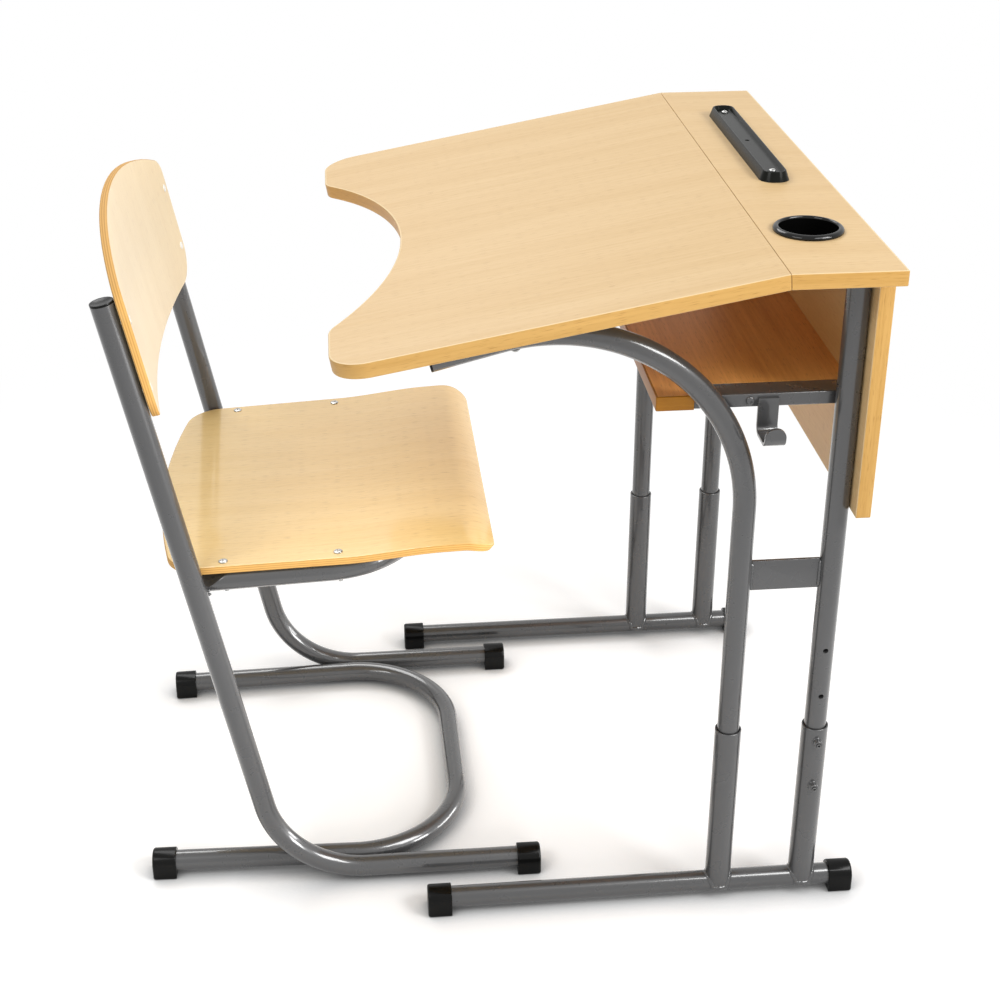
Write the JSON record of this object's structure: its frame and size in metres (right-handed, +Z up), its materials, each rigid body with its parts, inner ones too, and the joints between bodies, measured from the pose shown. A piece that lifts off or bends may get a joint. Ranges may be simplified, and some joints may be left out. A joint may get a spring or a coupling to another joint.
{
  "type": "school desk with chair",
  "caption": "School desk with sloped worktop, pen tray, cup, book shelf and height-adjustable tube frame, with a matching bent-plywood chair on skid feet.",
  "frame": {"origin": "on the floor, midway between the rear cap ends of the chair and of the desk, in the middle plane", "axes": "+X from the chair to the back of the desk, +Y to the sitter's left, +Z up"},
  "size_m": [0.829, 0.7, 0.805],
  "materials": {
    "frame_paint": "glossy grey paint",
    "board_laminate": "light beech laminate, satin",
    "board_edge": "beech edge band, satin",
    "bent_ply": "clear lacquered beech plywood",
    "black_plastic": "satin black",
    "tray_plastic": "glossy black",
    "zinc_steel": "zinc plated"
  },
  "bodies": {
    "desk_base": {"foot_rail_right": "frame_paint", "foot_rail_left": "frame_paint", "front_sleeve_right": "frame_paint", "front_sleeve_left": "frame_paint", "rear_sleeve_right": "frame_paint", "rear_sleeve_left": "frame_paint", "desk_front_cap_right": "black_plastic", "desk_front_cap_left": "black_plastic", "desk_rear_cap_right": "black_plastic", "desk_rear_cap_left": "black_plastic", "lock_bosses": "frame_paint", "lock_screws": "zinc_steel"},
    "desk_top": {"arm_right": "frame_paint", "arm_left": "frame_paint", "arm_plugs": "black_plastic", "rear_leg_right": "frame_paint", "rear_leg_left": "frame_paint", "brace_plate_right": "frame_paint", "brace_plate_left": "frame_paint", "shelf_rail_right": "frame_paint", "shelf_rail_left": "frame_paint", "shelf_rail_plugs": "black_plastic", "leg_plate_right": "frame_paint", "leg_plate_left": "frame_paint", "seam_strap_right": "frame_paint", "seam_strap_left": "frame_paint", "bag_hook": "frame_paint", "worktop": "board_laminate", "worktop_edge_band": "board_edge", "rear_strip": "board_laminate", "rear_strip_edge_band": "board_edge", "front_panel": "board_laminate", "front_panel_edge_band": "board_edge", "shelf": "board_laminate", "shelf_edge_band": "board_edge", "pen_tray": "tray_plastic", "cup_insert": "black_plastic", "arm_screws": "zinc_steel", "strip_screws": "zinc_steel", "strap_screws": "zinc_steel", "panel_screws": "zinc_steel", "shelf_screws": "frame_paint", "tray_screws_pair": "zinc_steel"},
    "chair": {"side_tube_right": "frame_paint", "side_tube_left": "frame_paint", "floor_loop": "frame_paint", "seat_support": "frame_paint", "seat": "bent_ply", "backrest": "bent_ply", "seat_bolts": "zinc_steel", "back_rivets": "zinc_steel", "post_plugs": "black_plastic", "chair_front_cap_right": "black_plastic", "chair_front_cap_left": "black_plastic", "chair_rear_cap_right": "black_plastic", "chair_rear_cap_left": "black_plastic"}
  },
  "joints": [
    {"name": "height_adjust", "type": "slide", "parent": "desk_base", "child": "desk_top", "axis": [0, 0, 1], "range_m": [-0.12, 0]},
    {"name": "chair_slide", "type": "slide", "parent": "desk_base", "child": "chair", "axis": [1, 0, 0], "range_m": [-0.4, 0.15]}
  ]
}
